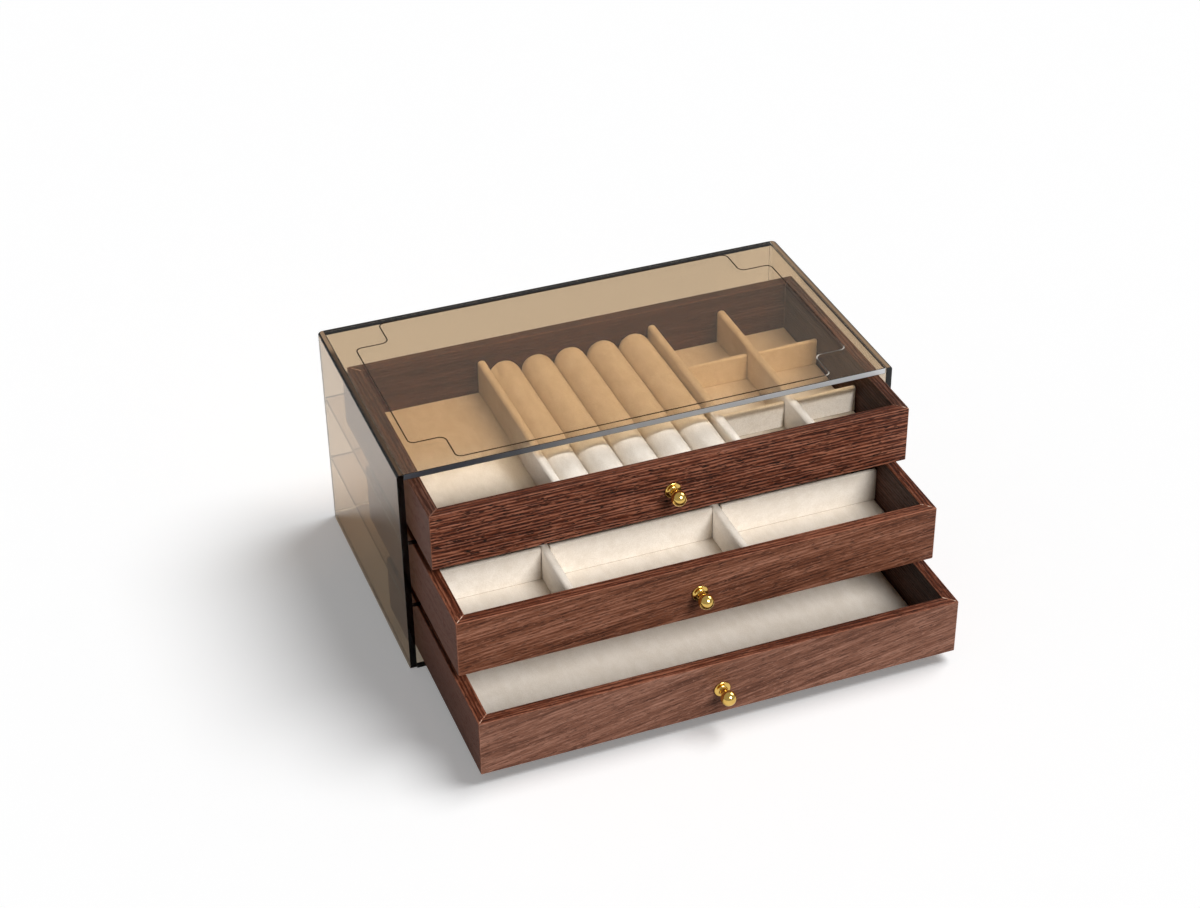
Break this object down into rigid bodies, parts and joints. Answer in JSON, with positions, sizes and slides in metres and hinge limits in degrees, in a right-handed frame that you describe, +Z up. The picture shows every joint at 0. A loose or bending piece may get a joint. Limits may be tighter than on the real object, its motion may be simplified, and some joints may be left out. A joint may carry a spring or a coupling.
{
  "type": "jewelry box with drawers",
  "caption": "Smoked acrylic case with sliding dark wood drawers, cream suede dividers, soft ring rolls and brass ball knobs, for keeping jewelry on a dresser.",
  "frame": {"origin": "centre of the case's flat underside, without the drawers", "axes": "+Z up, +X to the right along the long side, -Y out of the front, the way the drawers pull"},
  "size_m": [0.3, 0.2865, 0.135],
  "materials": {
    "smoked_acrylic": "polished",
    "dark_walnut": "satin",
    "brown_board": "matte",
    "cream_suede": "matte",
    "polished_brass": "polished",
    "screw_steel": "satin"
  },
  "bodies": {
    "case": {"back_panel": "smoked_acrylic", "base_panel": "smoked_acrylic", "left_side_panel": "smoked_acrylic", "lower_shelf": "smoked_acrylic", "right_side_panel": "smoked_acrylic", "top_panel": "smoked_acrylic", "upper_shelf": "smoked_acrylic"},
    "top_drawer": {"top_drawer_back": "dark_walnut", "top_drawer_base_board": "brown_board", "top_drawer_floor_liner": "cream_suede", "top_drawer_front": "dark_walnut", "top_drawer_front_left_cross_divider": "cream_suede", "top_drawer_front_right_cross_divider": "cream_suede", "top_drawer_grid_divider": "cream_suede", "top_drawer_knob": "polished_brass", "top_drawer_knob_screw": "screw_steel", "top_drawer_left_divider": "cream_suede", "top_drawer_left_side": "dark_walnut", "top_drawer_rear_left_cross_divider": "cream_suede", "top_drawer_rear_right_cross_divider": "cream_suede", "top_drawer_right_divider": "cream_suede", "top_drawer_right_side": "dark_walnut", "top_drawer_ring_roll_1": "cream_suede", "top_drawer_ring_roll_2": "cream_suede", "top_drawer_ring_roll_3": "cream_suede", "top_drawer_ring_roll_4": "cream_suede", "top_drawer_ring_roll_5": "cream_suede"},
    "middle_drawer": {"middle_drawer_back": "dark_walnut", "middle_drawer_base_board": "brown_board", "middle_drawer_centre_cross_divider": "cream_suede", "middle_drawer_floor_liner": "cream_suede", "middle_drawer_front": "dark_walnut", "middle_drawer_knob": "polished_brass", "middle_drawer_knob_screw": "screw_steel", "middle_drawer_left_cross_divider": "cream_suede", "middle_drawer_left_divider": "cream_suede", "middle_drawer_left_side": "dark_walnut", "middle_drawer_right_cross_divider": "cream_suede", "middle_drawer_right_divider": "cream_suede", "middle_drawer_right_side": "dark_walnut"},
    "bottom_drawer": {"bottom_drawer_back": "dark_walnut", "bottom_drawer_base_board": "brown_board", "bottom_drawer_floor_liner": "cream_suede", "bottom_drawer_front": "dark_walnut", "bottom_drawer_knob": "polished_brass", "bottom_drawer_knob_screw": "screw_steel", "bottom_drawer_left_side": "dark_walnut", "bottom_drawer_right_side": "dark_walnut"}
  },
  "joints": [
    {"name": "top_drawer_slide", "type": "slide", "parent": "case", "child": "top_drawer", "axis": [0, -1, 0], "range_m": [-0.0354, 0.0946]},
    {"name": "middle_drawer_slide", "type": "slide", "parent": "case", "child": "middle_drawer", "axis": [0, -1, 0], "range_m": [-0.0752, 0.0548]},
    {"name": "bottom_drawer_slide", "type": "slide", "parent": "case", "child": "bottom_drawer", "axis": [0, -1, 0], "range_m": [-0.1078, 0.0222]}
  ]
}
